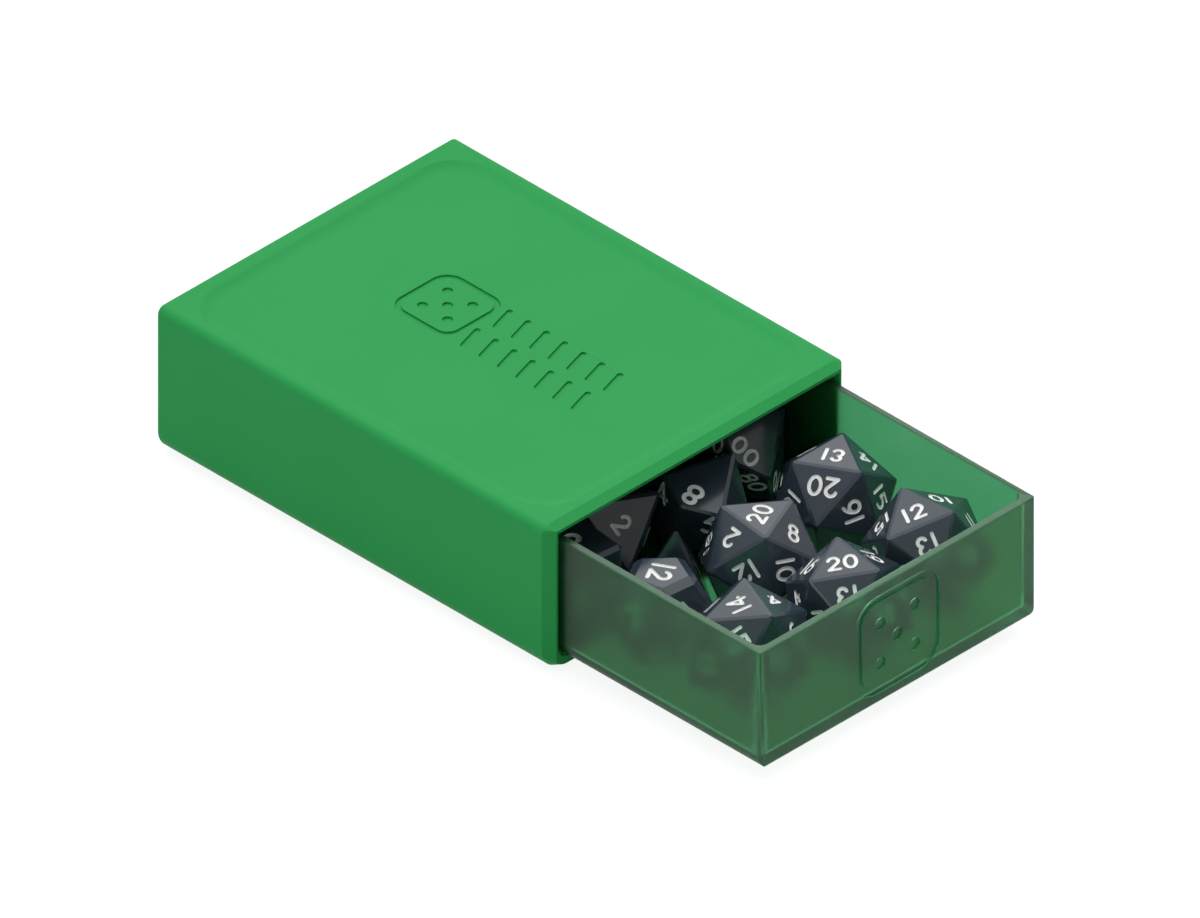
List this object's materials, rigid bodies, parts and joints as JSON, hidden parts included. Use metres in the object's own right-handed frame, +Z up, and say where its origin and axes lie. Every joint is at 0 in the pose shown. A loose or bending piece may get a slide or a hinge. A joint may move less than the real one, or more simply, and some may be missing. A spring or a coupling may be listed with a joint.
{
  "type": "dice storage chest",
  "caption": "Open-fronted sleeve case with a recessed roof and a clear drawer that slides out of it, loaded with polyhedral gaming dice in one layer.",
  "frame": {"origin": "centre of the flat underside of the sleeve, where the chest stands", "axes": "+Z up, +Y toward the closed rear of the sleeve, +X to the right; the drawer pulls out toward -Y"},
  "size_m": [0.0814, 0.1604, 0.034],
  "materials": {
    "sleeve_plastic": "satin",
    "drawer_plastic": "frosted and translucent",
    "dice_resin": "polished, with white numerals"
  },
  "bodies": {
    "sleeve": {"sleeve_shell": "sleeve_plastic"},
    "drawer": {"drawer_tray": "drawer_plastic", "die_d20_a": "dice_resin", "die_d20_b": "dice_resin", "die_d20_c": "dice_resin", "die_d20_d": "dice_resin", "die_d20_e": "dice_resin", "die_d12": "dice_resin", "die_d10": "dice_resin", "die_d10_tens": "dice_resin", "die_d8": "dice_resin", "die_d6": "dice_resin", "die_d4": "dice_resin"}
  },
  "joints": [
    {"name": "drawer_slide", "type": "slide", "parent": "sleeve", "child": "drawer", "axis": [0, -1, 0], "range_m": [-0.054, 0.038]}
  ]
}
